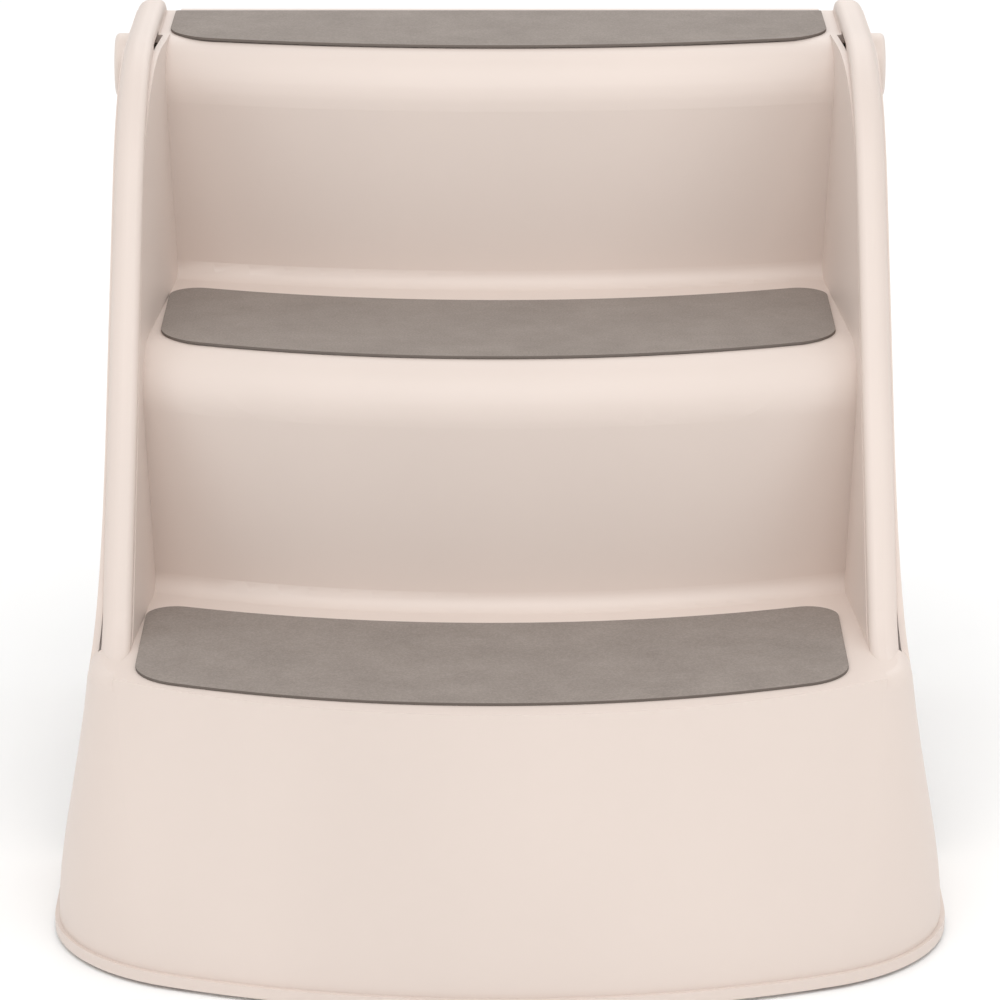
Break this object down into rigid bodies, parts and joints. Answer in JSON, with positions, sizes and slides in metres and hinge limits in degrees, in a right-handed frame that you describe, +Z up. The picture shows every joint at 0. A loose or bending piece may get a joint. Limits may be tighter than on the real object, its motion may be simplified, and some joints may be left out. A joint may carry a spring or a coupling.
{
  "type": "folding step unit",
  "caption": "Free-standing moulded plastic step unit with side rails, anti-slip tread pads and a rear leg and base brace that fold away underneath.",
  "frame": {"origin": "centre of the footprint on the floor, with the unit open", "axes": "-Y points out of the bottom step towards the user, +X to the user's right when facing the steps, +Z up"},
  "size_m": [0.4578, 0.5216, 0.411],
  "materials": {
    "shell_plastic": "fine satin moulded texture, warm pale beige",
    "frame_plastic": "satin moulded, same pale beige as the steps",
    "pin_plastic": "satin moulded",
    "tread_pad": "matt grey-brown anti-slip sheet with a fine grain",
    "foot_rubber": "matt moulded rubber",
    "bush_nylon": "natural nylon",
    "retainer_steel": "zinc-plated spring steel"
  },
  "bodies": {
    "steps": {"step_shell": "shell_plastic", "tread_pad_lower": "tread_pad", "tread_pad_middle": "tread_pad", "tread_pad_upper": "tread_pad", "hinge_pin_left": "pin_plastic", "hinge_pin_right": "pin_plastic", "hinge_retainer_left": "retainer_steel", "hinge_retainer_right": "retainer_steel", "brace_pin_left": "pin_plastic", "brace_pin_right": "pin_plastic", "foot_front_left": "foot_rubber", "foot_front_right": "foot_rubber", "foot_rear_left": "foot_rubber", "foot_rear_right": "foot_rubber"},
    "rear_leg": {"rear_leg_frame": "frame_plastic", "hinge_bush_left": "bush_nylon", "hinge_bush_right": "bush_nylon", "leg_boot_left": "foot_rubber", "leg_boot_right": "foot_rubber"},
    "brace": {"base_brace": "frame_plastic", "brace_bush_left": "bush_nylon", "brace_bush_right": "bush_nylon"}
  },
  "joints": [
    {"name": "leg_fold", "type": "hinge", "parent": "steps", "child": "rear_leg", "pos_m": [0, 0.20675, 0.376], "axis": [-1, 0, 0], "range_deg": [0, 37]},
    {"name": "brace_fold", "type": "hinge", "parent": "steps", "child": "brace", "pos_m": [0, -0.08025, 0.03687], "axis": [1, 0, 0], "range_deg": [0, 46.25]}
  ],
  "couplings": [
    {"joint": "brace_fold", "follows": "leg_fold", "ratio": 1.25}
  ]
}
